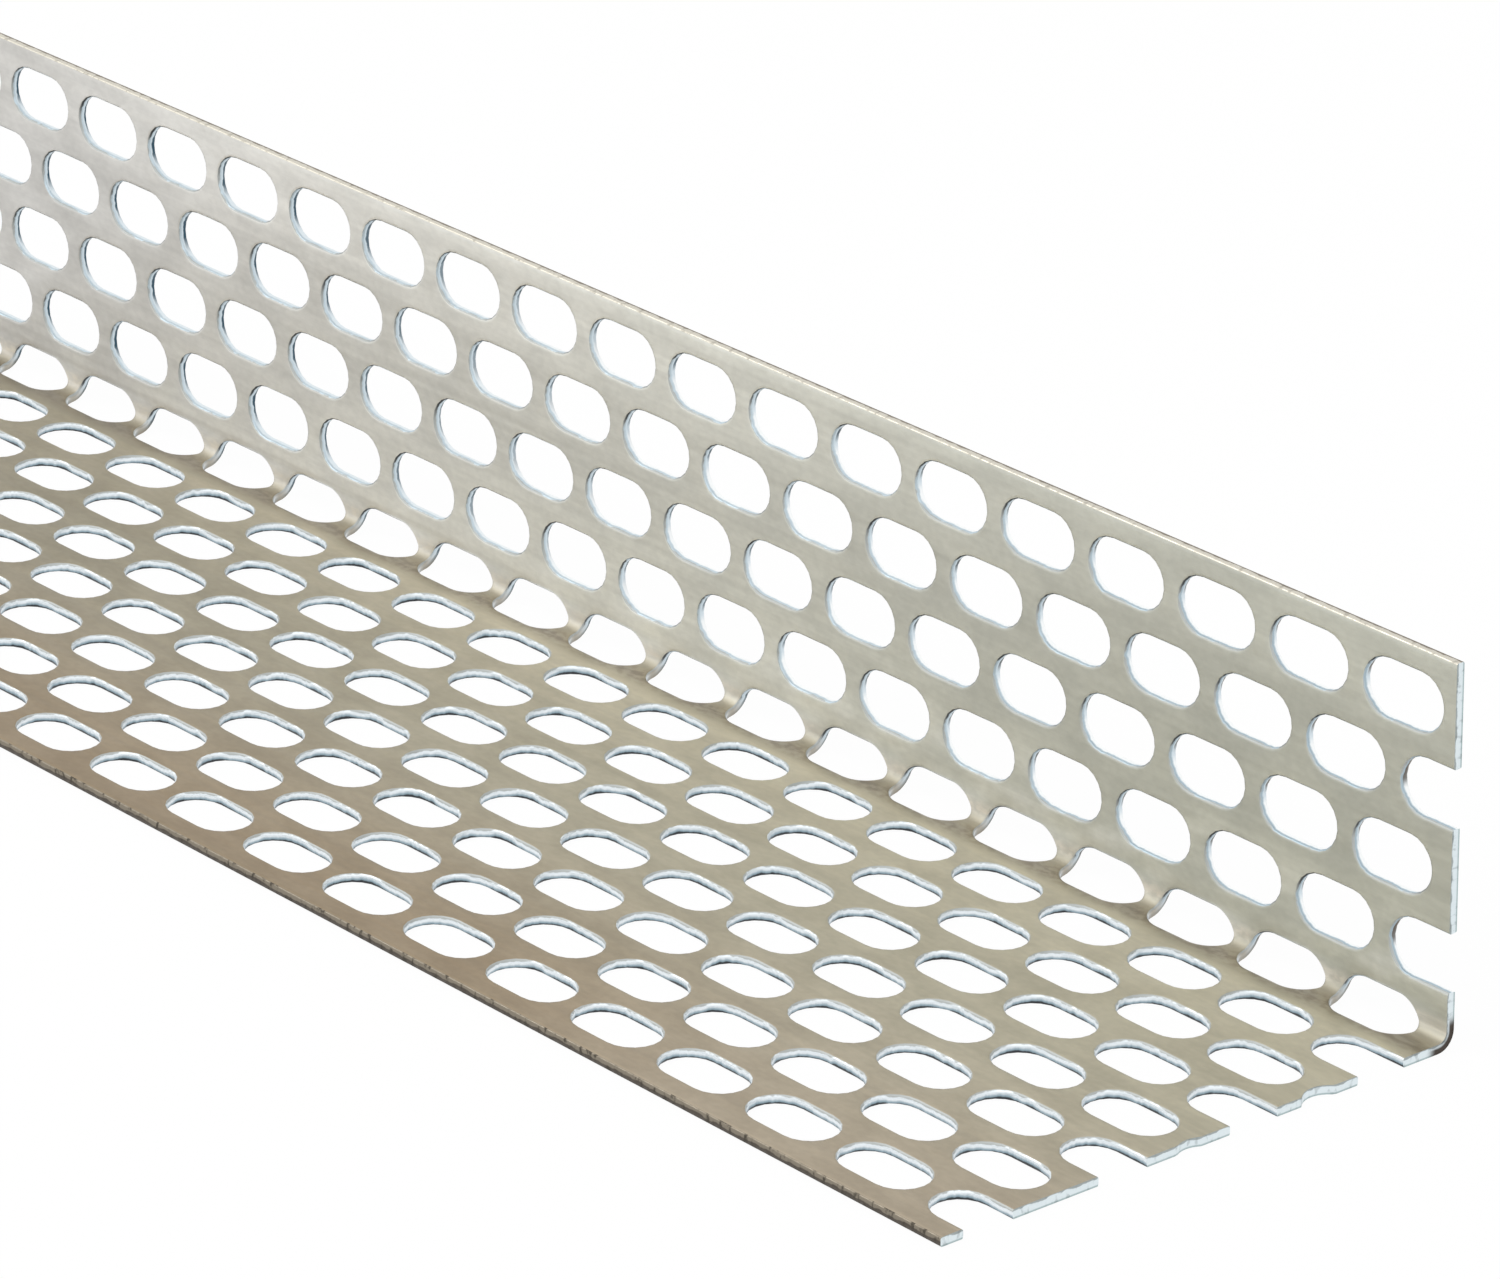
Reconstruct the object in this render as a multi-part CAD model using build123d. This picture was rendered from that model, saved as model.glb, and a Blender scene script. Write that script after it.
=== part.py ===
from build123d import *
import math
import os

# Perforated ventilation angle: one strip of thin sheet, punched all over with
# staggered rows of slots and then folded lengthwise into an L.
# X runs along the strip with the sawn end at +X, the upright leg stands at +Y,
# the flat leg reaches towards -Y, and the underside of the flat leg is at Z = 0.

# Driving dimensions in millimetres
LENGTH = 179.0
UPRIGHT_HEIGHT = 30.0
FLAT_DEPTH = 50.0
SHEET = 0.75
INNER_RADIUS = 0.8

# Share of the sheet's thickness, from its inner face, at which the fold keeps its length
NEUTRAL_SHARE = 0.25

# Punched slots: round-ended, lying along the strip, each second row set along by the stagger
SLOT_LENGTH = 7.7
SLOT_WIDTH = 4.6
WEB_ALONG = 1.63
WEB_ACROSS = 1.76
STAGGER = 4.21
TOP_RIM = 1.8
FRONT_RIM = 1.9

# A vent slot's round end is drawn as this many flats that touch its arc, which keeps the strip light
END_FLATS = 5

# Two slots in one row of the upright leg take screws and keep true arcs: the row, counted from
# the top edge, and the column, counted in from either end
FIXING_ROW = 2
FIXING_COLUMN = 2

# Sawn end: the first slot's centre, and how far the cut falls out of square
FIRST_SLOT = 6.6
SAW_FALL_TOP = 1.7
SAW_FALL_FRONT = 1.5

# Slack by which a punch stands clear of the sheet's faces
PUNCH_SLACK = 0.5

# Sizes worked out from those above
SLOT_RADIUS = SLOT_WIDTH / 2
SLOT_STRAIGHT = SLOT_LENGTH / 2 - SLOT_RADIUS
SLOT_PITCH = SLOT_LENGTH + WEB_ALONG
ROW_PITCH = SLOT_WIDTH + WEB_ACROSS
FLAT_TURN = math.pi / (END_FLATS + 1)
CORNER_RADIUS = SLOT_RADIUS / math.cos(FLAT_TURN / 2)
OUTER_RADIUS = INNER_RADIUS + SHEET
NEUTRAL_RADIUS = INNER_RADIUS + NEUTRAL_SHARE * SHEET
BACK = FLAT_DEPTH / 2

# Distances down the flat blank, from the top edge of the upright leg
FOLD_START = UPRIGHT_HEIGHT - OUTER_RADIUS
FOLD_END = FOLD_START + NEUTRAL_RADIUS * math.pi / 2
BLANK_WIDTH = FOLD_END + FLAT_DEPTH - OUTER_RADIUS


def folded_sheet():
    """The L section with its rounded fold, drawn along the strip and sawn off at +X."""
    section = Polygon(
        (BACK, UPRIGHT_HEIGHT),
        (BACK, 0),
        (-BACK, 0),
        (-BACK, SHEET),
        (BACK - SHEET, SHEET),
        (BACK - SHEET, UPRIGHT_HEIGHT),
        align=None,
    )
    section = fillet(section.vertices().sort_by_distance((BACK, 0))[0], OUTER_RADIUS)
    section = fillet(section.vertices().sort_by_distance((BACK - SHEET, SHEET))[0], INNER_RADIUS)
    strip = extrude(Plane.YZ * section, LENGTH / 2, both=True)
    saw_cut = Plane(
        origin=(LENGTH / 2, BACK, 0),
        z_dir=(1, -SAW_FALL_FRONT / FLAT_DEPTH, SAW_FALL_TOP / UPRIGHT_HEIGHT),
    )
    return split(strip, bisect_by=saw_cut, keep=Keep.BOTTOM)


def end_corners():
    """Corners of a vent slot's round end, as (distance along the slot, distance across it)."""
    turns = [(step - END_FLATS / 2) * FLAT_TURN for step in range(END_FLATS + 1)]
    return [
        (SLOT_STRAIGHT + CORNER_RADIUS * math.cos(turn), CORNER_RADIUS * math.sin(turn))
        for turn in turns
    ]


def half_length(across):
    """Half the length of a vent slot at a distance across it, set by the nearest flat of its end."""
    turns = [(step - (END_FLATS - 1) / 2) * FLAT_TURN for step in range(END_FLATS)]
    return SLOT_STRAIGHT + min(
        (SLOT_RADIUS - across * math.sin(turn)) / math.cos(turn) for turn in turns
    )


def vent_slot():
    """Outline of a vent slot, its two ends drawn as flats."""
    corners = end_corners()
    return Polygon(*corners, *[(-along, -across) for along, across in corners], align=None)


def fixing_slot():
    """Outline of a slot that takes a screw, its two ends true arcs."""
    return SlotOverall(SLOT_LENGTH, SLOT_WIDTH)


def leg_outline(outline, row, first, last):
    """A slot centred at row down the blank, kept only where it lies between first and last."""
    slot = Pos(0, row) * outline
    if first <= row - SLOT_RADIUS and row + SLOT_RADIUS <= last:
        return slot
    window = Rectangle(2 * SLOT_LENGTH, last - first, align=(Align.CENTER, Align.MIN))
    return slot & Pos(0, first) * window


def upright_punch(outline, row):
    """The part of a slot's punch that passes through the upright leg."""
    back_face = Plane(
        origin=(0, BACK + PUNCH_SLACK, UPRIGHT_HEIGHT), x_dir=(1, 0, 0), z_dir=(0, 1, 0)
    )
    slot = leg_outline(outline, row, 0, FOLD_START)
    return extrude(back_face * slot, -SHEET - 2 * PUNCH_SLACK)


def flat_punch(outline, row):
    """The part of a slot's punch that passes through the flat leg."""
    underside = Plane(
        origin=(0, BACK - OUTER_RADIUS + FOLD_END, -PUNCH_SLACK), x_dir=(1, 0, 0), z_dir=(0, 0, -1)
    )
    slot = leg_outline(outline, row, FOLD_END, BLANK_WIDTH)
    return extrude(underside * slot, -SHEET - 2 * PUNCH_SLACK)


def fold_punch(row):
    """The part of a slot's punch that wraps round the fold, with walls square to the sheet."""
    first = max(row - SLOT_RADIUS, FOLD_START)
    last = min(row + SLOT_RADIUS, FOLD_END)
    corners = [row + across for _, across in end_corners()[1:-1]]
    stops = [first, *[corner for corner in corners if first < corner < last], last]
    inside = INNER_RADIUS / 2
    outside = OUTER_RADIUS + PUNCH_SLACK
    sections = []
    for stop in stops:
        angle = (stop - FOLD_START) / NEUTRAL_RADIUS
        radial = Plane(
            origin=(0, BACK - OUTER_RADIUS, OUTER_RADIUS),
            x_dir=(1, 0, 0),
            z_dir=(0, math.sin(angle), math.cos(angle)),
        )
        blade = Rectangle(
            2 * half_length(stop - row), outside - inside, align=(Align.CENTER, Align.MIN)
        )
        sections.append(radial * Pos(0, inside) * blade)
    return loft(sections, ruled=True)


def slot_punches(outline, row):
    """The punch of one slot, as one solid for each stretch of the sheet that it passes through."""
    punches = []
    if row - SLOT_RADIUS < FOLD_START:
        punches.append(upright_punch(outline, row))
    if row - SLOT_RADIUS < FOLD_END and row + SLOT_RADIUS > FOLD_START:
        punches.append(fold_punch(row))
    if row + SLOT_RADIUS > FOLD_END:
        punches.append(flat_punch(outline, row))
    return punches


def punched_rows():
    """The punches of every slot of every row; in the flat leg the next ones nick the sawn end."""
    rows = int((BLANK_WIDTH - TOP_RIM - FRONT_RIM + WEB_ACROSS) / ROW_PITCH)
    whole_columns = int((LENGTH - FIRST_SLOT - SLOT_LENGTH / 2) / SLOT_PITCH) + 1
    fixing_columns = (FIXING_COLUMN, whole_columns - 1 - FIXING_COLUMN)
    punches = []
    for index in range(rows):
        row = TOP_RIM + SLOT_RADIUS + index * ROW_PITCH
        start = LENGTH / 2 - FIRST_SLOT + (STAGGER if index % 2 else 0)
        vent = slot_punches(vent_slot(), row)
        fixing = slot_punches(fixing_slot(), row)
        for column in range(-1 if row > FOLD_END else 0, whole_columns + 1):
            x = start - column * SLOT_PITCH
            takes_screw = index == FIXING_ROW and column in fixing_columns
            if abs(x) < (LENGTH + SLOT_LENGTH) / 2:
                punches += [Pos(x, 0, 0) * punch for punch in (fixing if takes_screw else vent)]
    return punches


perforated_angle = folded_sheet() - punched_rows()

os.makedirs("parts", exist_ok=True)
export_step(perforated_angle, "parts/perforated_angle.step")
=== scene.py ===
"""Perforated ventilation angle, dressed for its picture.

One strip of mill-finish aluminium sheet is punched all over with staggered rows of
round-ended slots, folded lengthwise into an L and sawn off at one end. The strip is laid
out as a flat blank in millimetres, with every slot's rolled and broken edge, and then
folded; a plain pale studio stands round it.
"""

from __future__ import annotations

import logging
import math
from collections.abc import Sequence
from dataclasses import dataclass, field
from enum import Enum, IntEnum

import bpy
import numpy as np
from mathutils import Matrix, Vector

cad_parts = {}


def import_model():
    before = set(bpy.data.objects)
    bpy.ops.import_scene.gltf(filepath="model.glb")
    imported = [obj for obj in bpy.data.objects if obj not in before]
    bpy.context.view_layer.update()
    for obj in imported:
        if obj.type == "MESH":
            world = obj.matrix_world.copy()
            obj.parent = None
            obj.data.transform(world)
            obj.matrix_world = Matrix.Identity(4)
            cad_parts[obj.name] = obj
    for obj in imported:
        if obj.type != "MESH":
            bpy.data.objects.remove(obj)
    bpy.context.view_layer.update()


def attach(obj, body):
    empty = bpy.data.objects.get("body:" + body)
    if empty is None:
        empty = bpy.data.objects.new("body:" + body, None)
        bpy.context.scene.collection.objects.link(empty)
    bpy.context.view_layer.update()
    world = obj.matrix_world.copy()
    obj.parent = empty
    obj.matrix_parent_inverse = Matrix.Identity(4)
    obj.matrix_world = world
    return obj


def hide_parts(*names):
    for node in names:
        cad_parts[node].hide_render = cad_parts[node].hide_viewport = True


LOG = logging.getLogger("vent_strip")

MM = 0.001
BLANK_MAP = "blank"
WELD_DIGITS = 5
QUARTER = math.pi / 2

# How deep the finishes are scored, in metres
GRAIN_DEPTH = 0.00002
PUNCH_SCORE_DEPTH = 0.00003
SAW_SCORE_DEPTH = 0.00004

Colour = tuple[float, float, float]
Triple = tuple[float, float, float]
Span = tuple[float, float]
Socket = bpy.types.NodeSocket

# The range in which most of a noise's values lie
NOISE_SPAN: Span = (0.3, 0.7)


class Surface(IntEnum):
    """Kinds of surface on the strip, in the order of its material slots."""

    SHEET = 0
    SLOT_WALL = 1
    SAWN_END = 2
    TOP_EDGE = 3
    FRONT_EDGE = 4


class Place(Enum):
    """Where a slot's cell lies along its row, and so which ends of the strip it meets."""

    INSIDE = "clear of both ends"
    BESIDE_SAW = "whole, with its border on the saw cut"
    BESIDE_FAR = "whole, with its border on the far end"
    CUT_BY_SAW = "cut open by the saw"
    CUT_BY_FAR = "cut open by the far end"


@dataclass(frozen=True)
class Facets:
    """How many steps a walk round a slot takes over each stretch of it."""

    end: int
    shoulder: int
    straight: int

    @property
    def corner(self) -> float:
        """Heading at which a round end's own steps stop and its shoulders begin."""
        return QUARTER * self.end / (self.end + 2 * self.shoulder)


LEG_FACETS = Facets(end=4, shoulder=3, straight=2)
FOLD_FACETS = Facets(end=32, shoulder=0, straight=8)
NICK_STEPS = 20
STEPS_TO_CORNER = 4


@dataclass(frozen=True)
class FoldedBlank:
    """The flat blank and the fold that makes an L of it, in millimetres.

    A point of the blank is (x along the strip, v down from the top edge, n out of the
    middle of the sheet towards the inside of the L). The saw_burr is what dressing the sawn
    end takes off it.
    """

    length: float = 179.0
    upright_height: float = 30.0
    flat_depth: float = 50.0
    sheet: float = 0.75
    inner_radius: float = 0.8
    neutral_share: float = 0.25
    slot_length: float = 7.7
    slot_width: float = 4.6
    web_along: float = 1.63
    web_across: float = 1.76
    stagger: float = 4.21
    top_rim: float = 1.8
    front_rim: float = 1.9
    first_slot: float = 6.6
    saw_fall_top: float = 1.7
    saw_fall_front: float = 1.5
    saw_burr: float = 0.002

    @property
    def slot_radius(self) -> float:
        """Radius of a slot's round ends."""
        return self.slot_width / 2

    @property
    def slot_straight(self) -> float:
        """Half the straight run of a slot's long sides."""
        return self.slot_length / 2 - self.slot_radius

    @property
    def pitch(self) -> float:
        """Distance from slot to slot along a row."""
        return self.slot_length + self.web_along

    @property
    def row_pitch(self) -> float:
        """Distance from row to row down the blank."""
        return self.slot_width + self.web_across

    @property
    def outer_radius(self) -> float:
        """Radius of the outside of the fold."""
        return self.inner_radius + self.sheet

    @property
    def middle_radius(self) -> float:
        """Radius of the middle of the sheet round the fold."""
        return self.inner_radius + self.sheet / 2

    @property
    def neutral_radius(self) -> float:
        """Radius of the line in the sheet that keeps its length round the fold."""
        return self.inner_radius + self.neutral_share * self.sheet

    @property
    def fold_start(self) -> float:
        """Distance down the blank at which the fold begins."""
        return self.upright_height - self.outer_radius

    @property
    def fold_end(self) -> float:
        """Distance down the blank at which the fold ends."""
        return self.fold_start + self.neutral_radius * QUARTER

    @property
    def width(self) -> float:
        """Width of the flat blank."""
        return self.fold_end + self.flat_depth - self.outer_radius

    @property
    def rows(self) -> int:
        """Number of rows of slots."""
        spare = self.width - self.top_rim - self.front_rim + self.web_across
        return int(spare / self.row_pitch)

    @property
    def columns(self) -> int:
        """Number of whole slots in a row that starts at the first slot."""
        return int((self.length - self.first_slot - self.slot_length / 2) / self.pitch) + 1

    @property
    def saw_mark(self) -> float:
        """x at which a point of the blank is taken to lie on the saw cut."""
        return self.length / 2 - self.first_slot + self.pitch / 2

    def row_centre(self, row: np.ndarray | int) -> np.ndarray | float:
        """Distance down the blank of the middle of a row."""
        return self.top_rim + self.slot_radius + row * self.row_pitch

    def lattice(self) -> np.ndarray:
        """Points along every line between two rows.

        Even steps run from each corner of one row's cells to the next corner of the other
        row's, so both rows share them: pitch less stagger, then stagger, repeated.

        Returns:
            x of each point, from the sawn end to the far end.
        """
        corners = np.array([0.0, self.pitch - self.stagger, self.pitch])
        share = np.arange(2 * STEPS_TO_CORNER) / STEPS_TO_CORNER
        steps = np.interp(share, [0, 1, 2], corners)
        along = (np.arange(self.columns)[:, None] * self.pitch + steps).ravel()
        return self.saw_mark - np.append(along, self.columns * self.pitch)

    def fold(self, blank: np.ndarray) -> np.ndarray:
        """Folds points of the blank into the L and saws off its ends.

        Past fold_start a point turns about the fold's axis by (v - fold_start) /
        neutral_radius, at radius middle_radius - n, and what lies above or beyond the fold
        goes straight on.

        Args:
            blank: points (x, v, n) in millimetres.

        Returns:
            Points (x, y, z) in millimetres.
        """
        x, v, n = blank.T
        turn = np.clip((v - self.fold_start) / self.neutral_radius, 0, QUARTER)
        above = np.maximum(self.fold_start - v, 0)
        beyond = np.maximum(v - self.fold_end, 0)
        radius = self.middle_radius - n
        back = self.flat_depth / 2
        y = back - self.outer_radius + radius * np.cos(turn) - beyond
        z = self.outer_radius - radius * np.sin(turn) + above
        half = self.length / 2
        fall_front = (y - back) * self.saw_fall_front / self.flat_depth
        fall_top = z * self.saw_fall_top / self.upright_height
        sawn = np.minimum(half + fall_front - fall_top, self.nick(v)) - self.saw_burr
        x = np.where(x > self.saw_mark - self.web_along / 4, sawn, np.maximum(x, -half))
        return np.column_stack((x, y, z))

    def nick(self, v: np.ndarray) -> np.ndarray:
        """Where the next slot of a row of the flat leg, beyond the saw cut, bites into the end.

        The bite is the round end of that slot: its centre less the root of radius squared
        less the distance across squared.

        Args:
            v: distances down the blank.

        Returns:
            The largest x that the bite leaves, or infinity where no slot reaches.
        """
        row = np.floor((v - self.row_centre(0)) / self.row_pitch + 0.5)
        across = v - self.row_centre(row)
        bite = np.sqrt(np.maximum(self.slot_radius**2 - across**2, 0))
        centre = self.length / 2 - self.first_slot + self.pitch - self.slot_straight
        reached = (row % 2 == 0) & (bite > 0) & (self.row_centre(row) > self.fold_end)
        return np.where(reached, centre - bite, np.inf)


@dataclass(frozen=True)
class SlotWalk:
    """A walk round a slot and, step for step, round the cell of sheet that holds it.

    Attributes:
        centre: along the slot, the centre that each step of the outline turns about.
        heading: the angle of each step, from the strip's length towards the front.
        column: the lattice column of each step of the cell's border, from its sawn side.
        across: the distance of each step of the border across the row.
        closed: whether the last step leads back to the first.
    """

    centre: np.ndarray
    heading: np.ndarray
    column: np.ndarray
    across: np.ndarray
    closed: bool

    @staticmethod
    def join(runs: Sequence[Sequence[np.ndarray]], closed: bool) -> SlotWalk:
        """Joins runs that each start where the one before stops.

        Args:
            runs: for each stretch, its centre, heading, column and across.
            closed: whether the walk comes back to its start.

        Returns:
            The walk, with every shared step kept once.
        """
        parts = [np.concatenate([np.asarray(run[i])[:-1] for run in runs]) for i in range(4)]
        if not closed:
            parts = [np.append(part, runs[-1][i][-1]) for i, part in enumerate(parts)]
        return SlotWalk(parts[0], parts[1], parts[2].astype(int), parts[3], closed)

    @staticmethod
    def round(blank: FoldedBlank, facets: Facets, place: Place) -> SlotWalk:
        """Walks round a slot: its sawn end, along its front, its far end, back along its top.

        Args:
            blank: the sizes of the strip.
            facets: the steps over each stretch.
            place: where the slot's cell lies; one that is cut open has no walk over the cut.

        Returns:
            The walk, closed where the slot is whole.
        """
        half = blank.slot_straight
        edge = blank.row_pitch / 2
        corner = facets.corner
        cut = blank.pitch / 2 - blank.stagger
        opened = place in (Place.CUT_BY_SAW, Place.CUT_BY_FAR)
        last = STEPS_TO_CORNER if opened else 2 * STEPS_TO_CORNER

        def end(facing: int, steps: int, column: int) -> list[np.ndarray]:
            """The steps over one round end, level with the border's where the row is folded."""
            middle = 0.0 if facing > 0 else math.pi
            heading = np.linspace(middle - corner, middle + corner, steps + 1)
            across = facing * np.linspace(-edge, edge, steps + 1)
            if not facets.shoulder:
                across[1:-1] = blank.slot_radius * np.sin(heading[1:-1])
            centre = np.full(steps + 1, facing * half)
            return [centre, heading, np.full(steps + 1, column), across]

        def side(facing: int) -> list[np.ndarray]:
            """The steps along one long side, with the shoulders that no cut takes away."""
            bend_in = np.linspace(corner, QUARTER, facets.shoulder + 1)[:-1]
            bend_out = np.linspace(QUARTER, math.pi - corner, facets.shoulder + 1)[1:]
            run = np.linspace(half, -half, facets.straight + 1)
            if place is Place.CUT_BY_SAW:
                bend_in = bend_in[:0]
                run = np.linspace(cut, -half, last + 1 - len(bend_out))
            if place is Place.CUT_BY_FAR:
                bend_out = bend_out[:0]
                run = np.linspace(half, cut, last + 1 - len(bend_in))
            heading = np.concatenate((bend_in, np.full(len(run), QUARTER), bend_out))
            centre = np.concatenate((np.full(len(bend_in), half), run, np.full(len(bend_out), -half)))
            across = np.full(len(heading), facing * edge)
            steps = [centre, facing * heading, np.arange(last + 1), across]
            return steps if facing > 0 else [step[::-1] for step in steps]

        nicked = NICK_STEPS if place is Place.BESIDE_SAW else facets.end
        front, top = side(1), side(-1)
        sawn = end(1, max(facets.end, nicked), 0)
        far = end(-1, facets.end, last)
        if place is Place.CUT_BY_SAW:
            return SlotWalk.join((front, far, top), closed=False)
        if place is Place.CUT_BY_FAR:
            return SlotWalk.join((top, sawn, front), closed=False)
        return SlotWalk.join((sawn, front, far, top), closed=True)


@dataclass
class Patchwork:
    """Patches of quads in blank coordinates, gathered before they are welded into one skin."""

    points: list[np.ndarray] = field(default_factory=list)
    quads: list[np.ndarray] = field(default_factory=list)
    kinds: list[np.ndarray] = field(default_factory=list)
    count: int = 0

    def add(self, points: np.ndarray) -> np.ndarray:
        """Takes in an array of points.

        Args:
            points: points of the blank, with x, v and n on the last axis.

        Returns:
            The index of each point, in the array's own shape.
        """
        size = points[..., 0].size
        index = np.arange(self.count, self.count + size).reshape(points.shape[:-1])
        self.points.append(points.reshape(-1, 3))
        self.count += size
        return index

    def face(self, corners: Sequence[np.ndarray], kind: Surface | np.ndarray) -> None:
        """Adds quads.

        Args:
            corners: four arrays of point indices, one for each corner in turn.
            kind: the kind of surface, for all of them or one for each.
        """
        quads = np.stack(np.broadcast_arrays(*corners), axis=-1)
        self.quads.append(quads.reshape(-1, 4))
        self.kinds.append(np.broadcast_to(kind, quads.shape[:-1]).ravel())

    def cover(self, index: np.ndarray, walls: np.ndarray, closed: bool) -> None:
        """Faces a family of grids.

        Args:
            index: point indices, one grid each, with steps across and then steps along.
            walls: the kind of surface between each step across and the next.
            closed: whether the last step along leads back to the first.
        """
        ahead = np.roll(index, -1, axis=2)
        stop = index.shape[2] if closed else index.shape[2] - 1
        here, there = index[:, :, :stop], ahead[:, :, :stop]
        corners = (here[:, :-1], here[:, 1:], there[:, 1:], there[:, :-1])
        self.face(corners, np.broadcast_to(walls[:, None], corners[0].shape))

    def cap(self, ring: np.ndarray, kind: Surface) -> None:
        """Closes the open end of a strip whose cross-section has an even number of points.

        Quads span the cross-section from its two ends inwards: points (i, i + 1) on the one
        side meet points (last - i - 1, last - i) on the other.

        Args:
            ring: point indices, with the cross-section on the last axis.
            kind: the kind of surface.
        """
        half = ring.shape[-1] // 2
        near, far = ring[..., :half], ring[..., ::-1][..., :half]
        corners = (near[..., :-1], near[..., 1:], far[..., 1:], far[..., :-1])
        self.face(corners, kind)

    def weld(self) -> tuple[np.ndarray, np.ndarray, np.ndarray]:
        """Merges points that lie at one place.

        Returns:
            The points of the blank, the quads and the kind of each quad.
        """
        points = np.round(np.concatenate(self.points), WELD_DIGITS) + 0.0
        merged, index = np.unique(points, axis=0, return_inverse=True)
        quads = index.reshape(-1)[np.concatenate(self.quads)]
        return merged, quads, np.concatenate(self.kinds)


@dataclass(frozen=True)
class EdgeProfile:
    """How the sheet rolls over at a punched or sheared edge.

    Attributes:
        steps: pairs of a distance from the edge into the sheet and a height above the middle
            of the sheet as a share of half its thickness, from the inner face to the outer.
        walls: the kind of surface between each step and the next, borders included.
    """

    steps: tuple[tuple[float, float], ...]
    walls: tuple[Surface, ...]

    def offsets(self) -> np.ndarray:
        """Distance of each step from the edge."""
        return np.array([offset for offset, _ in self.steps])

    def heights(self, sheet: float) -> np.ndarray:
        """Height of each step above the middle of the sheet, with a border at either face."""
        shares = [1.0, *[share for _, share in self.steps], -1.0]
        return np.array(shares) * sheet / 2


# The punch rolls the inner face down, burnishes the wall, and breaks out at the outer face.
PUNCHED_EDGE = EdgeProfile(
    steps=((0.30, 1.0), (0.10, 0.965), (0.0, 0.66), (0.0, -0.28), (0.04, -0.8), (0.08, -1.0)),
    walls=(Surface.SHEET,) * 2 + (Surface.SLOT_WALL,) * 4 + (Surface.SHEET,),
)

# The shears leave the long edges nearly square.
SHEARED_EDGE = EdgeProfile(
    steps=((0.45, 1.0), (0.10, 0.98), (0.0, 0.75), (0.0, -0.75), (0.10, -0.98), (0.45, -1.0)),
    walls=(Surface.SHEET,) * 2 + (Surface.TOP_EDGE,) * 3 + (Surface.SHEET,) * 2,
)


class NodeBench:
    """A material's node tree, with short calls that add nodes and join them."""

    def __init__(self, name: str, owner: bpy.types.ID | None = None) -> None:
        """Clears the nodes of a material of that name, or of another owner of nodes.

        Args:
            name: the name of the material.
            owner: what the nodes belong to, where that isn't a new material.
        """
        self.material = owner or bpy.data.materials.new(name)
        self.material.use_nodes = True
        self.tree = self.material.node_tree
        self.tree.nodes.clear()

    def add(self, kind: str, inputs: dict | None = None, **settings: object) -> bpy.types.Node:
        """Adds a node.

        Args:
            kind: the node's type.
            inputs: for a socket's name or number, a value to set or an output to join.
            settings: properties of the node.

        Returns:
            The node.
        """
        node = self.tree.nodes.new(kind)
        for name, value in settings.items():
            setattr(node, name, value)
        for key, value in (inputs or {}).items():
            if isinstance(value, Socket):
                self.tree.links.new(value, node.inputs[key])
            else:
                node.inputs[key].default_value = value
        return node

    def math(self, operation: str, *values: object) -> Socket:
        """Works out one number from others."""
        inputs = dict(enumerate(values))
        return self.add("ShaderNodeMath", inputs, operation=operation).outputs[0]

    def times(self, one: Socket, other: object) -> Socket:
        """Multiplies one number by another."""
        return self.math("MULTIPLY", one, other)

    def ramp(
        self, value: Socket, start: float, stop: float, low: float = 0.0, high: object = 1.0
    ) -> Socket:
        """Maps a number smoothly from the range start to stop onto low to high."""
        inputs = {"Value": value, 1: start, 2: stop, 3: low, 4: high}
        settings = {"interpolation_type": "SMOOTHSTEP"}
        return self.add("ShaderNodeMapRange", inputs, **settings).outputs[0]

    def band(self, value: Socket, middle: object, half: float) -> Socket:
        """One at the middle of a band, falling smoothly to nothing at its edges."""
        distance = self.math("ABSOLUTE", self.math("SUBTRACT", value, middle))
        return self.ramp(distance, 0.0, half, 1.0, 0.0)

    def sway(self, noise: Socket, low: float, high: float) -> Socket:
        """Maps the range in which most of a noise lies onto low to high."""
        return self.ramp(noise, *NOISE_SPAN, low, high)

    def noise(self, vector: Socket, scale: Triple, detail: float) -> Socket:
        """Noise whose grain has the given number of cells per unit along each axis."""
        mapping = self.add("ShaderNodeMapping", {"Vector": vector, "Scale": scale})
        inputs = {"Vector": mapping.outputs[0], "Scale": 1.0, "Detail": detail}
        return self.add("ShaderNodeTexNoise", inputs).outputs["Fac"]

    def tint(self, share: object, under: object, over: object) -> Socket:
        """Lays one colour over another by a share.

        Args:
            share: how much of the upper colour shows.
            under: the lower colour, or an output that gives it.
            over: the upper colour, or an output that gives it.

        Returns:
            The mixed colour.
        """
        colours = {6: under, 7: over}
        inputs = {
            key: (*value, 1.0) if isinstance(value, tuple) else value
            for key, value in colours.items()
        }
        return self.add("ShaderNodeMix", {0: share, **inputs}, data_type="RGBA").outputs[2]

    def scaled(self, colour: object, factor: Socket) -> Socket:
        """Makes a colour lighter or darker by a factor that varies over the surface."""
        vector = self.add("ShaderNodeVectorMath", {0: colour, 3: factor}, operation="SCALE")
        return vector.outputs[0]

    def blank_map(self) -> tuple[Socket, ...]:
        """The strip's own map in millimetres: the vector, then x, v and n."""
        vector = self.add("ShaderNodeAttribute", attribute_name=BLANK_MAP).outputs["Vector"]
        split = self.add("ShaderNodeSeparateXYZ", {0: vector})
        return (vector, *split.outputs)

    def bump(self, height: Socket, depth: float, strength: float) -> Socket:
        """Turns a height into a bumped normal."""
        inputs = {"Height": height, "Distance": depth, "Strength": strength}
        return self.add("ShaderNodeBump", inputs).outputs["Normal"]

    def metal(self, colour: Socket, roughness: Socket, normal: Socket) -> bpy.types.Material:
        """Ends the tree in a metal surface.

        Args:
            colour: the metal's colour.
            roughness: its roughness.
            normal: its bumped normal.

        Returns:
            The material.
        """
        inputs = {"Base Color": colour, "Metallic": 1.0, "Roughness": roughness, "Normal": normal}
        surface = self.add("ShaderNodeBsdfPrincipled", inputs)
        self.add("ShaderNodeOutputMaterial", {"Surface": surface.outputs[0]})
        return self.material


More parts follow.
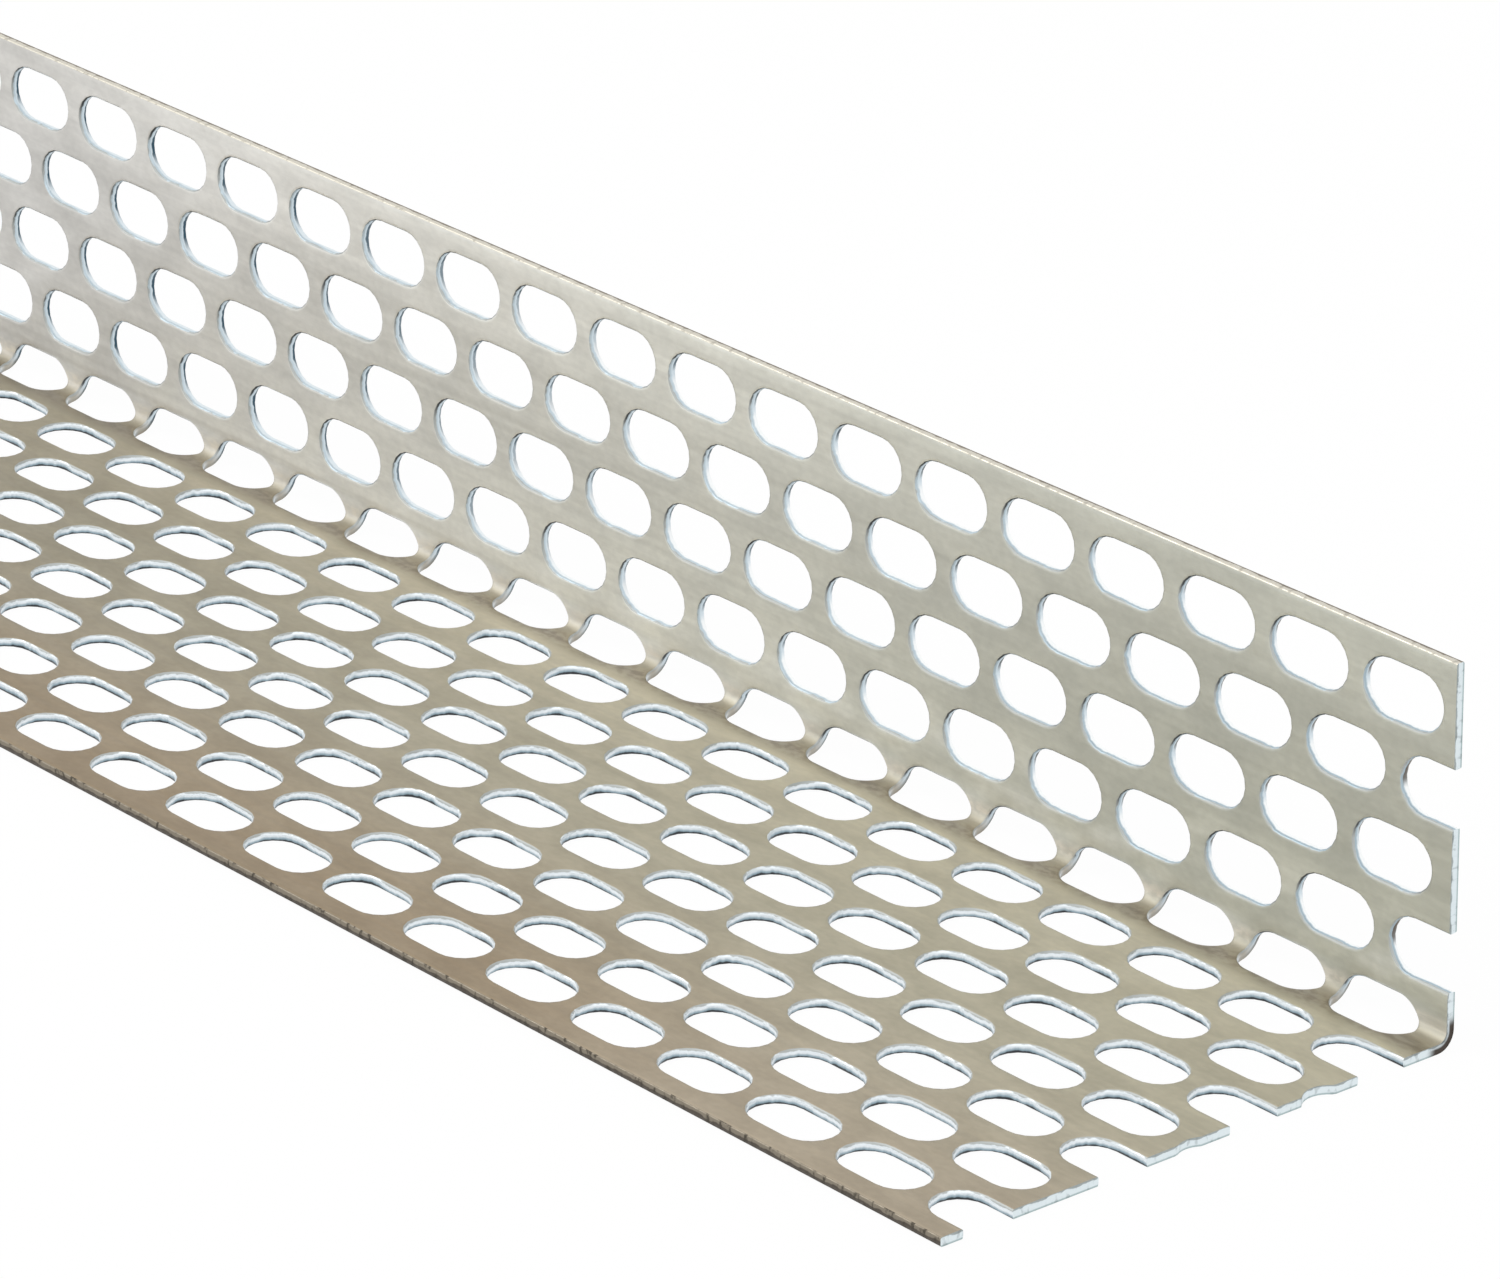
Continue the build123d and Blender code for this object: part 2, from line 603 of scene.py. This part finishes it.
@dataclass(frozen=True)
class MillFinish:
    """Rolled aluminium sheet: streaks along the strip, cloudy patches, painted light and shade on the
    upright leg and about the fold, and a tanned front.

    Attributes:
        upright: the tone of the upright leg, at the far end and at the sawn end; the far end's
            lighter tone is painted light.
        flat: the tone of the flat leg beside the fold, at the far end and at the sawn end.
        front: the tone of the flat leg's front, along the strip and near the sawn end.
        pale: the painted light of pale patches above the fold.
        fold_start_highlight: the painted highlight where the fold begins.
        fold_shade: the painted shade of the fold itself, where it turns.
        crease_shade: the brown painted shade where the fold meets the flat leg.
        front_start: how far down the blank the front's tone begins.
        front_change: x over which it turns into its tone near the sawn end.
        top: how much lighter the upright leg is along its top edge, a painted light.
        top_fade: how far down the blank that fades.
        shoulder: how much lighter the upright and the flat leg are a little way from the fold.
        upright_shoulder: how far down the blank the upright leg turns lighter.
        flat_shoulder: how far down the blank the flat leg turns back to its own tone.
        middle: how much lighter the strip is about halfway along.
        middle_x: the x where it is lightest.
        middle_stop: how far down the blank that has faded.
        roughness: how far the rolled surface scatters light.
        dullness: how much rougher it is in the fold.
        blank: the sizes of the strip.
    """

    upright: tuple[Colour, Colour] = ((0.58, 0.57, 0.545), (0.51, 0.515, 0.455))
    flat: tuple[Colour, Colour] = ((0.345, 0.31, 0.235), (0.49, 0.455, 0.355))
    front: tuple[Colour, Colour] = ((0.34, 0.27, 0.185), (0.42, 0.36, 0.275))
    pale: Colour = (0.78, 0.78, 0.74)
    fold_start_highlight: Colour = (0.76, 0.72, 0.64)
    fold_shade: Colour = (0.49, 0.46, 0.38)
    crease_shade: Colour = (0.24, 0.205, 0.155)
    front_start: float = 50.0
    front_change: Span = (36.0, 66.0)
    top: float = 1.12
    top_fade: Span = (3.0, 10.0)
    shoulder: Span = (1.10, 1.14)
    upright_shoulder: Span = (17.0, 24.0)
    flat_shoulder: Span = (35.0, 48.0)
    middle: float = 1.22
    middle_x: float = -15.0
    middle_stop: float = 45.0
    roughness: float = 0.45
    dullness: float = 0.22
    blank: FoldedBlank = FoldedBlank()

    def material(self) -> bpy.types.Material:
        """Builds the finish.

        The tone goes from the upright leg's to the flat leg's through the fold, which has a painted
        highlight where it begins, painted shade and more roughness where it turns, and brown
        painted shade where it meets the flat leg. The upright leg has painted light towards the far
        end and along its top edge, and pale patches of painted light lie above the fold. The strip
        is lighter beside the fold and about halfway along, and deeper at the front. Streaks, clouds
        and a fine mottling lighten and darken it.

        Returns:
            The material of the sheet's faces.
        """
        bench = NodeBench("mill_aluminium")
        vector, x, v, n = bench.blank_map()
        start, stop = self.blank.fold_start, self.blank.fold_end
        half = self.blank.length / 2
        clouds = bench.noise(vector, (0.16, 0.30, 0.30), 4.0)
        streaks = bench.noise(vector, (0.012, 1.6, 1.0), 3.0)
        mottling = bench.noise(vector, (1.3, 2.0, 2.0), 4.0)
        grain = bench.noise(vector, (0.5, 7.0, 7.0), 2.0)
        nearness = bench.ramp(x, -half, half)
        # Painted light: the upright leg is lighter towards the far end and along its top edge.
        upright = bench.tint(nearness, *self.upright)
        upright = bench.scaled(upright, bench.ramp(v, *self.top_fade, self.top, 1.0))
        upright = bench.scaled(upright, bench.ramp(v, *self.upright_shoulder, 1.0, self.shoulder[0]))
        flat = bench.tint(nearness, *self.flat)
        flat = bench.scaled(flat, bench.ramp(v, *self.flat_shoulder, self.shoulder[1], 1.0))
        front = bench.tint(bench.ramp(x, *self.front_change), *self.front)
        flat = bench.tint(bench.ramp(v, self.front_start, self.blank.width), flat, front)
        tone = bench.tint(bench.ramp(v, start, stop), upright, flat)
        above = bench.ramp(v, start, self.middle_stop, 1.0, 0.0)
        halfway = bench.times(bench.band(x, self.middle_x, half), above)
        tone = bench.scaled(tone, bench.ramp(halfway, 0.0, 1.0, 1.0, self.middle))
        inside = bench.ramp(n, -0.2, 0.2)
        # Painted light: pale patches above the fold.
        cloudy = bench.ramp(clouds, 0.45, 0.65, 0.0, 0.4)
        patches = bench.times(bench.band(v, start - 3.5, 6.0), cloudy)
        tone = bench.tint(bench.times(patches, inside), tone, self.pale)
        uneven = bench.times(bench.ramp(mottling, 0.35, 0.65, 0.55, 0.95), inside)
        # Painted highlight where the fold begins, painted shade where it turns, and brown painted
        # shade where it meets the flat leg.
        bands = (
            (bench.band(v, start - 0.1, 1.1), self.fold_start_highlight),
            (bench.band(v, start + 1.3, 1.1), self.fold_shade),
            (bench.band(v, stop + 1.5, 2.2), self.crease_shade),
        )
        for band, colour in bands:
            tone = bench.tint(bench.times(band, uneven), tone, colour)
        shade = bench.times(bench.sway(clouds, 0.94, 1.05), bench.sway(streaks, 0.95, 1.05))
        shade = bench.times(shade, bench.sway(mottling, 0.965, 1.035))
        tone = bench.scaled(tone, shade)
        rough = bench.math("ADD", bench.sway(streaks, -0.05, 0.05), self.roughness)
        rough = bench.math("ADD", rough, bench.sway(clouds, 0.05, -0.05))
        dull = bench.ramp(bench.band(v, (start + stop) / 2, 2.5), 0.0, 0.5, 0.0, self.dullness)
        rough = bench.math("ADD", rough, dull)
        return bench.metal(tone, rough, bench.bump(grain, GRAIN_DEPTH, 0.25))


@dataclass(frozen=True)
class PunchedFinish:
    """The wall of a punched slot: burnished bright, with a dark ragged line where it broke, and
    painted shade and painted reflections.

    Attributes:
        rolled: the tone of the rim that the punch rolled over.
        burnished: the bright wall of the flat leg.
        shaded: the wall of the upright leg.
        glaring: the painted reflection of the white sky on the part of that wall which looks up
            beside the outer face.
        drawn: the blue-grey line where the punch dragged.
        fracture_and_shade: the dark line where the sheet broke, with painted shade laid over it at
            the flat leg's outer face, and painted shade on rims that look down or away.
        brown_reflection: that line near the sawn end of the upright leg, a brown painted reflection
            of the flat leg.
        dark_reflection: that line in the rest of the upright leg, a dark painted reflection.
        fold_wall_shade: the painted shade on the wall where a slot crosses the fold.
        blank: the sizes of the strip.
    """

    rolled: Colour = (0.50, 0.52, 0.51)
    burnished: Colour = (0.86, 0.91, 0.94)
    shaded: Colour = (0.68, 0.77, 0.82)
    glaring: Colour = (0.96, 0.98, 0.98)
    drawn: Colour = (0.30, 0.40, 0.46)
    fracture_and_shade: Colour = (0.05, 0.055, 0.06)
    brown_reflection: Colour = (0.10, 0.07, 0.045)
    dark_reflection: Colour = (0.035, 0.08, 0.115)
    fold_wall_shade: Colour = (0.36, 0.32, 0.25)
    blank: FoldedBlank = FoldedBlank()

    def material(self) -> bpy.types.Material:
        """Builds the finish.

        The grey rolled rim, with painted shade in the upright leg where it looks down or away, gives
        way to the wall of either leg, which has painted shade where a slot crosses the fold. How deep
        each line lies is uneven.

        Returns:
            The material of the slots' walls.
        """
        bench = NodeBench("punched_wall")
        vector, x, v, n = bench.blank_map()
        half = self.blank.sheet / 2
        facing = bench.add("ShaderNodeTexCoord").outputs["Normal"]
        along, _, rise = bench.add("ShaderNodeSeparateXYZ", {0: facing}).outputs
        ragged = bench.noise(vector, (0.45, 0.45, 0.1), 3.0)
        scored = bench.noise(vector, (2.2, 2.2, 0.3), 2.0)
        depth = bench.add("ShaderNodeMapRange", {"Value": n, 1: half, 2: -half}).outputs[0]
        depth = bench.math("ADD", depth, bench.sway(ragged, -0.14, 0.14))
        depth = bench.math("ADD", depth, bench.sway(scored, -0.04, 0.04))
        opened = self.opened(bench, x, along, rise)
        flat = bench.ramp(v, self.blank.fold_start, self.blank.fold_end)
        standing = self.standing(bench, x, depth, rise, opened)
        tone = bench.tint(flat, standing, self.lying(bench, depth))
        # Painted shade on the wall where a slot crosses the fold.
        fold_wall_shade = bench.times(bench.band(v, self.blank.fold_end, 1.6), 0.85)
        tone = bench.tint(fold_wall_shade, tone, self.fold_wall_shade)
        # Painted shade on the rolled rim where it looks down or away.
        away = bench.math(
            "MAXIMUM",
            bench.ramp(rise, 0.0, -0.5, 0.0, 0.9),
            bench.ramp(along, -0.15, -0.6, 0.0, 0.5),
        )
        whole = bench.math("SUBTRACT", bench.ramp(flat, 0.0, 1.0, 1.0, 0.0), opened)
        rim = bench.tint(bench.times(away, whole), self.rolled, self.fracture_and_shade)
        tone = bench.tint(bench.ramp(depth, 0.08, 0.24), rim, tone)
        rough = bench.ramp(depth, 0.1, 0.4, 0.62, 0.36)
        return bench.metal(tone, rough, bench.bump(scored, PUNCH_SCORE_DEPTH, 0.2))

    def opened(self, bench: NodeBench, x: Socket, along: Socket, rise: Socket) -> Socket:
        """Finds the round ends of the slots that the saw cut open, where they don't look up.

        Args:
            bench: the material's nodes.
            x: the place along the strip.
            along: how far the wall looks along the strip.
            rise: how far it looks up.

        Returns:
            One on those ends and nothing elsewhere.
        """
        first = self.blank.length / 2 - self.blank.first_slot + self.blank.stagger
        end = first - self.blank.slot_length / 2
        looks_out = bench.times(bench.ramp(along, 0.05, 0.35), bench.ramp(rise, 0.4, 0.0))
        return bench.times(bench.ramp(x, end - 0.6, end + 0.2), looks_out)

    def lying(self, bench: NodeBench, depth: Socket) -> Socket:
        """The wall of the flat leg: burnished, then blue-grey, then dark where the sheet broke, with
        painted shade along the outer face.
        """
        tone = bench.tint(bench.ramp(depth, 0.36, 0.74), self.burnished, self.drawn)
        return bench.tint(bench.ramp(depth, 0.72, 0.90), tone, self.fracture_and_shade)

    def standing(
        self, bench: NodeBench, x: Socket, depth: Socket, rise: Socket, opened: Socket
    ) -> Socket:
        """Tones the wall of the upright leg.

        It has a blue-grey line near the inner face. Beyond that it has a white painted reflection of
        the sky where it looks up, less so at the far end, and elsewhere, over the zone where the
        sheet
        broke, dark painted reflections: brown near the sawn end, where the ends of the slots that the
        saw opened get them too, and blue-black farther off.

        Args:
            bench: the material's nodes.
            x: the place along the strip.
            depth: how far through the sheet the wall is, from its inner face.
            rise: how far it looks up.
            opened: one on the ends of slots that the saw cut open.

        Returns:
            The wall's tone.
        """
        far = bench.ramp(x, self.blank.length / 2, 0.0)
        distant = bench.ramp(x, 15.0, -45.0)
        faded = bench.ramp(far, 0.0, 1.0, 0.75, 0.3)
        line = bench.times(bench.band(depth, 0.30, 0.28), faded)
        tone = bench.tint(line, self.shaded, self.drawn)
        # Painted reflection of the white sky where the wall looks up.
        glare = bench.ramp(distant, 0.0, 1.0, 1.0, 0.25)
        lit = bench.times(bench.ramp(depth, 0.45, 0.62), bench.ramp(rise, 0.0, 0.4, 0.0, glare))
        tone = bench.tint(lit, tone, self.glaring)
        # Painted shade: dark reflections where the wall looks down or away, and on the ends that the
        # saw opened.
        turned = bench.math(
            "MAXIMUM",
            bench.ramp(rise, 0.05, -0.45),
            bench.ramp(rise, 0.85, 0.2, 0.0, distant),
        )
        painted_shade = bench.math(
            "MAXIMUM",
            bench.times(bench.ramp(depth, 0.50, 0.70), turned),
            bench.times(bench.ramp(depth, 0.34, 0.46), opened),
        )
        return bench.tint(painted_shade, tone, bench.tint(far, self.brown_reflection, self.dark_reflection))


# Painted shade: the dark brown of the sawn end across the outside of the fold.
FOLD_CORNER_SHADE: Colour = (0.045, 0.028, 0.018)


@dataclass(frozen=True)
class CutFinish:
    """A cut edge of the sheet: two bands that meet at an uneven line, scored across.

    Attributes:
        name: the material's name.
        inner: the tone of the band beside the inner face.
        outer: the tone of the band beside the outer face.
        split: how far through the sheet the bands meet, as a share of its thickness.
        speckle: how strongly the burr's dark specks show.
        lip: the tone of a line along the outer face, if there is one.
        corner_shade: how strongly brown painted shade darkens the edge where it crosses the fold.
        blank: the sizes of the strip.
    """

    name: str
    inner: Colour
    outer: Colour
    split: float
    speckle: float
    lip: Colour | None = None
    corner_shade: float = 0.0
    blank: FoldedBlank = FoldedBlank()

    def material(self) -> bpy.types.Material:
        """Builds the finish.

        Through the thickness the inner band gives way to the outer one at an uneven depth,
        and dark specks of burr are scattered over both. It may have a line along the outer
        face, and may carry brown painted shade across the fold.

        Returns:
            The material of that edge.
        """
        bench = NodeBench(self.name)
        vector, _, v, n = bench.blank_map()
        half = self.blank.sheet / 2
        depth = bench.add("ShaderNodeMapRange", {"Value": n, 1: half, 2: -half}).outputs[0]
        ragged = bench.noise(vector, (0.8, 0.8, 0.8), 3.0)
        scored = bench.noise(vector, (2.0, 2.0, 1.0), 3.0)
        height = bench.sway(ragged, self.split - 0.12, self.split + 0.12)
        below = bench.ramp(bench.math("SUBTRACT", depth, height), -0.06, 0.08)
        tone = bench.tint(below, self.inner, self.outer)
        if self.lip:
            tone = bench.tint(bench.ramp(depth, 0.74, 0.90), tone, self.lip)
        specks = bench.times(bench.ramp(scored, 0.54, 0.66), self.speckle)
        tone = bench.tint(specks, tone, tuple(0.3 * part for part in self.inner))
        # Painted shade across the fold, deepest towards the outer face.
        if self.corner_shade:
            folded = bench.band(v, (self.blank.fold_start + self.blank.fold_end) / 2, 2.4)
            browned = bench.times(
                bench.ramp(folded, 0.0, 0.6, 0.0, self.corner_shade),
                bench.ramp(depth, 0.25, 0.5, 0.3, 1.0),
            )
            tone = bench.tint(browned, tone, FOLD_CORNER_SHADE)
        rough = bench.sway(scored, 0.3, 0.55)
        return bench.metal(tone, rough, bench.bump(scored, SAW_SCORE_DEPTH, 0.3))


SAWN_FINISH = CutFinish(
    "sawn_end",
    inner=(0.36, 0.40, 0.40),
    outer=(0.76, 0.84, 0.87),
    split=0.16,
    speckle=0.25,
    lip=(0.42, 0.52, 0.53),
    corner_shade=0.96,
)
TOP_FINISH = CutFinish("top_edge", (0.66, 0.63, 0.55), (0.24, 0.20, 0.15), 0.62, 0.35)
FRONT_FINISH = CutFinish("front_edge", (0.25, 0.22, 0.175), (0.10, 0.085, 0.07), 0.45, 0.9)


@dataclass
class PerforatedAngle:
    """The strip itself: its blank, its slots with their edges, and its finishes.

    Attributes:
        blank: the sizes of the strip.
        slot_edge: how the sheet rolls over at a slot.
        long_edge: how it rolls over at the top and front edges.
        node: the CAD node that the strip replaces.
        name: the piece's name.
        slot: the name of a material slot; not used.
        sharp_angle: the angle from which an edge is shaded sharp.
    """

    blank: FoldedBlank = FoldedBlank()
    slot_edge: EdgeProfile = PUNCHED_EDGE
    long_edge: EdgeProfile = SHEARED_EDGE
    node: str = "perforated_angle"
    name: str = "slotted_angle"
    slot: str = "aluminium_sheet"
    sharp_angle: float = math.radians(50)

    def build(self) -> bpy.types.Object:
        """Builds the strip as one skin, dresses it and puts it in the CAD node's place.

        Returns:
            The finished piece.
        """
        patches = Patchwork()
        self.punch_rows(patches)
        self.trim_rims(patches)
        blank, quads, kinds = patches.weld()
        mesh = bpy.data.meshes.new(self.name)
        mesh.from_pydata(self.blank.fold(blank) * MM, [], quads)
        mesh.polygons.foreach_set("material_index", kinds.astype(np.int32))
        mesh.polygons.foreach_set("use_smooth", np.ones(len(quads), dtype=bool))
        mapped = mesh.attributes.new(BLANK_MAP, "FLOAT_VECTOR", "POINT")
        mapped.data.foreach_set("vector", blank.astype(np.float32).ravel())
        mesh.set_sharp_from_angle(angle=self.sharp_angle)
        self.dress(mesh)
        piece = bpy.data.objects.new(self.name, mesh)
        bpy.context.scene.collection.objects.link(piece)
        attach(piece, "root")
        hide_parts(self.node)
        return piece

    def dress(self, mesh: bpy.types.Mesh) -> None:
        """Gives the mesh its finishes, in the order of the kinds of surface."""
        finishes = {
            Surface.SHEET: MillFinish(blank=self.blank),
            Surface.SLOT_WALL: PunchedFinish(blank=self.blank),
            Surface.SAWN_END: SAWN_FINISH,
            Surface.TOP_EDGE: TOP_FINISH,
            Surface.FRONT_EDGE: FRONT_FINISH,
        }
        for kind in Surface:
            mesh.materials.append(finishes[kind].material())

    def punch_rows(self, patches: Patchwork) -> None:
        """Lays the cell of every slot in the blank, family by family.

        Every second row is set along by the stagger, so its slots are cut open at both ends of
        the strip; the other rows have a whole slot beside each end.

        Args:
            patches: takes the cells.
        """
        rows = np.arange(self.blank.rows)
        middle = self.blank.row_centre(rows)
        reach = self.blank.slot_radius
        folded = (middle + reach > self.blank.fold_start) & (middle - reach < self.blank.fold_end)
        last = self.blank.columns - 1
        whole_rows = (
            (Place.BESIDE_SAW, [0]),
            (Place.INSIDE, range(1, last)),
            (Place.BESIDE_FAR, [last]),
        )
        set_rows = (
            (Place.CUT_BY_SAW, [0]),
            (Place.INSIDE, range(1, last + 1)),
            (Place.CUT_BY_FAR, [last + 1]),
        )
        for facets, chosen in ((LEG_FACETS, ~folded), (FOLD_FACETS, folded)):
            for odd, families in ((0, whole_rows), (1, set_rows)):
                members = rows[chosen & (rows % 2 == odd)]
                for place, columns in families:
                    self.lay(patches, facets, place, members, np.array(columns))

    def lay(
        self, patches: Patchwork, facets: Facets, place: Place, rows: np.ndarray, columns: np.ndarray
    ) -> None:
        """Lays one family of cells, each a grid of steps across the web by steps round the slot.

        Across the web a cell runs from its border over the inner face to the slot's edge, down
        the wall and back over the outer face. Round the slot, a point is the step's centre plus
        (radius + offset) times the cosine and sine of its heading.

        Args:
            patches: takes the cells.
            facets: the steps round each slot.
            place: where the cells lie along their rows.
            rows: the rows of the family.
            columns: its columns, counted from the sawn end.
        """
        blank = self.blank
        walk = SlotWalk.round(blank, facets, place)
        row, column = (axis.ravel() for axis in np.meshgrid(rows, columns, indexing="ij"))
        odd = row % 2
        x = blank.length / 2 - blank.first_slot + odd * blank.stagger - column * blank.pitch
        v = blank.row_centre(row)
        start = np.maximum(STEPS_TO_CORNER * (2 * column - odd), 0)
        border_x = blank.lattice()[start[:, None] + walk.column]
        border_v = v[:, None] + walk.across
        reach = blank.slot_radius + self.slot_edge.offsets()[:, None]
        edge_x = x[:, None, None] + walk.centre + reach * np.cos(walk.heading)
        edge_v = v[:, None, None] + reach * np.sin(walk.heading)
        grid_x = np.concatenate((border_x[:, None], edge_x, border_x[:, None]), axis=1)
        grid_v = np.concatenate((border_v[:, None], edge_v, border_v[:, None]), axis=1)
        height = self.slot_edge.heights(blank.sheet)[:, None]
        index = patches.add(np.stack(np.broadcast_arrays(grid_x, grid_v, height), axis=-1))
        patches.cover(index, np.array(self.slot_edge.walls), walk.closed)
        if place in (Place.CUT_BY_SAW, Place.CUT_BY_FAR):
            patches.cap(index[:, ::-1, 0], Surface.SAWN_END)
            patches.cap(index[:, :, -1], Surface.SAWN_END)
        elif place is not Place.INSIDE:
            side = 0 if place is Place.BESIDE_SAW else 2 * STEPS_TO_CORNER
            run = np.flatnonzero(walk.column == side)
            patches.cover(index[:, [-1, 0]][:, :, run], np.array([Surface.SAWN_END]), False)

    def trim_rims(self, patches: Patchwork) -> None:
        """Lays the plain rims of the top and front edges, each a profile along the lattice.

        Args:
            patches: takes the rims.
        """
        blank = self.blank
        x = blank.lattice()
        height = self.long_edge.heights(blank.sheet)[:, None]
        first = blank.row_centre(0) - blank.row_pitch / 2
        last = blank.row_centre(blank.rows - 1) + blank.row_pitch / 2
        walls = np.array(self.long_edge.walls)
        front_walls = np.where(walls == Surface.TOP_EDGE, Surface.FRONT_EDGE, walls)
        for edge, border, kinds in ((0.0, first, walls), (blank.width, last, front_walls)):
            inward = math.copysign(1, border - edge)
            down = edge + inward * self.long_edge.offsets()
            v = np.concatenate(([border], down, [border]))[:, None]
            index = patches.add(np.stack(np.broadcast_arrays(x, v, height), axis=-1))[None]
            if inward < 0:
                index = index[:, :, ::-1]
            patches.cover(index, kinds, False)
            patches.cap(index[:, ::-1, 0], Surface.SAWN_END)
            patches.cap(index[:, :, -1], Surface.SAWN_END)


@dataclass(frozen=True)
class SoftLamp:
    """A square area lamp that faces the strip.

    Attributes:
        name: the lamp's name.
        place: where it hangs, in metres.
        side: the side of its square, in metres.
        power: its power in watts.
        colour: its colour.
    """

    name: str
    place: Triple
    side: float
    power: float
    colour: Colour

    def hang(self, aim: Vector) -> None:
        """Hangs the lamp, turned to face a point."""
        data = bpy.data.lights.new(self.name, "AREA")
        data.energy = self.power
        data.size = self.side
        data.color = self.colour
        lamp = bpy.data.objects.new(self.name, data)
        lamp.location = self.place
        lamp.rotation_euler = (aim - lamp.location).to_track_quat("-Z", "Y").to_euler()
        bpy.context.scene.collection.objects.link(lamp)


@dataclass(frozen=True)
class Viewpoint:
    """The camera of the picture: where it looks from, found from the slots' places in it.

    Attributes:
        azimuth: degrees round the strip, from the front towards the sawn end.
        elevation: degrees above the horizon.
        roll: degrees that the camera leans, to the left.
        aim: the point at the middle of the picture, in millimetres.
        distance: millimetres from there to the camera.
        lens: focal length in millimetres.
        sensor: width of the sensor in millimetres.
    """

    azimuth: float = 46.646
    elevation: float = 23.623
    roll: float = 2.007
    aim: Triple = (20.143, 19.161, 10.0)
    distance: float = 595.309
    lens: float = 184.805
    sensor: float = 36.0

    def set_up(self) -> bpy.types.Object:
        """Makes the camera and gives the scene to it.

        Returns:
            The camera.
        """
        turn, rise, lean = (math.radians(a) for a in (self.azimuth, self.elevation, self.roll))
        back = Vector(
            (math.sin(turn) * math.cos(rise), -math.cos(turn) * math.cos(rise), math.sin(rise))
        )
        level = Vector((math.cos(turn), math.sin(turn), 0.0))
        upright = back.cross(level)
        right = level * math.cos(lean) + upright * math.sin(lean)
        up = upright * math.cos(lean) - level * math.sin(lean)
        data = bpy.data.cameras.new("picture_camera")
        data.sensor_fit = "HORIZONTAL"
        data.sensor_width = self.sensor
        data.lens = self.lens
        camera = bpy.data.objects.new("picture_camera", data)
        place = (Vector(self.aim) + back * self.distance) * MM
        turned = Matrix((right, up, back)).transposed().to_4x4()
        camera.matrix_world = Matrix.Translation(place) @ turned
        bpy.context.scene.collection.objects.link(camera)
        bpy.context.scene.camera = camera
        return camera


@dataclass(frozen=True)
class PaleFloor:
    """A pale floor that is white to the eye and in the metal, and keeps the strip's shadow.

    Attributes:
        half: half its side, in metres.
        drop: how far below the strip it lies, in metres.
        colour: its diffuse colour.
        glow: the share of it that is plain white where it is seen or mirrored.
    """

    half: float = 4.0
    drop: float = 0.00002
    colour: Colour = (0.92, 0.92, 0.92)
    glow: float = 0.96

    def lay(self) -> bpy.types.Object:
        """Lays the floor just under the strip.

        Returns:
            The floor.
        """
        reach = np.array([-1.0, 1.0]) * self.half
        x, y = np.meshgrid(reach, reach)
        points = np.column_stack((x.ravel(), y.ravel(), np.full(4, -self.drop)))
        mesh = bpy.data.meshes.new("pale_floor")
        mesh.from_pydata(points, [], [(0, 1, 3, 2)])
        mesh.materials.append(self.material())
        floor = bpy.data.objects.new("pale_floor", mesh)
        bpy.context.scene.collection.objects.link(floor)
        return floor

    def material(self) -> bpy.types.Material:
        """Mixes white glow into the floor for rays that see or mirror it."""
        bench = NodeBench("pale_floor")
        matt = bench.add("ShaderNodeBsdfDiffuse", {"Color": (*self.colour, 1.0)})
        white = bench.add("ShaderNodeEmission", {"Strength": 1.0})
        share = bench.times(seen_rays(bench), self.glow)
        mixed = bench.add("ShaderNodeMixShader", {0: share, 1: matt.outputs[0], 2: white.outputs[0]})
        bench.add("ShaderNodeOutputMaterial", {"Surface": mixed.outputs[0]})
        return bench.material


def seen_rays(bench: NodeBench) -> Socket:
    """One for rays from the camera, a mirror or glass, and nothing for the rest."""
    path = bench.add("ShaderNodeLightPath")
    mirrored = bench.math(
        "MAXIMUM", path.outputs["Is Glossy Ray"], path.outputs["Is Transmission Ray"]
    )
    return bench.math("MAXIMUM", path.outputs["Is Camera Ray"], mirrored)


@dataclass(frozen=True)
class Studio:
    """The plain soft studio round the strip.

    Attributes:
        floor: the floor under the strip.
        view: the camera of the picture.
        ambient: how bright the sky is for light that reaches the floor.
        lamps: the lamps, all turned to the middle of the picture.
    """

    floor: PaleFloor = PaleFloor()
    view: Viewpoint = Viewpoint()
    ambient: float = 0.85
    lamps: tuple[SoftLamp, ...] = (
        SoftLamp("key_lamp", (-0.45, -0.50, 0.70), 0.6, 2.5, (1.0, 0.985, 0.96)),
        SoftLamp("fill_lamp", (0.6, -0.4, 0.6), 0.7, 1.0, (0.95, 0.98, 1.0)),
    )

    def build(self) -> None:
        """Lays the floor, hangs the lamps, sets the sky and the camera."""
        scene = bpy.context.scene
        scene.view_settings.view_transform = "Standard"
        self.floor.lay()
        for lamp in self.lamps:
            lamp.hang(Vector(self.view.aim) * MM)
        self.sky()
        self.view.set_up()

    def sky(self) -> None:
        """A white sky to the eye and in the metal, and a softer one for the floor's light."""
        world = bpy.data.worlds.new("white_sky")
        bench = NodeBench("white_sky", world)
        strength = bench.ramp(seen_rays(bench), 0.0, 1.0, self.ambient, 1.0)
        background = bench.add(
            "ShaderNodeBackground", {"Color": (1.0, 1.0, 1.0, 1.0), "Strength": strength}
        )
        bench.add("ShaderNodeOutputWorld", {"Surface": background.outputs[0]})
        bpy.context.scene.world = world


def main() -> None:
    """Builds the strip and its studio."""
    logging.basicConfig(level=logging.INFO, format="%(name)s: %(message)s")
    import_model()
    strip = PerforatedAngle().build()
    mesh = strip.data
    LOG.info("%s: %d points, %d quads", strip.name, len(mesh.vertices), len(mesh.polygons))
    Studio().build()
    LOG.info("studio: floor, lamps, sky and camera")
    bpy.context.view_layer.update()


if __name__ == "__main__":
    main()
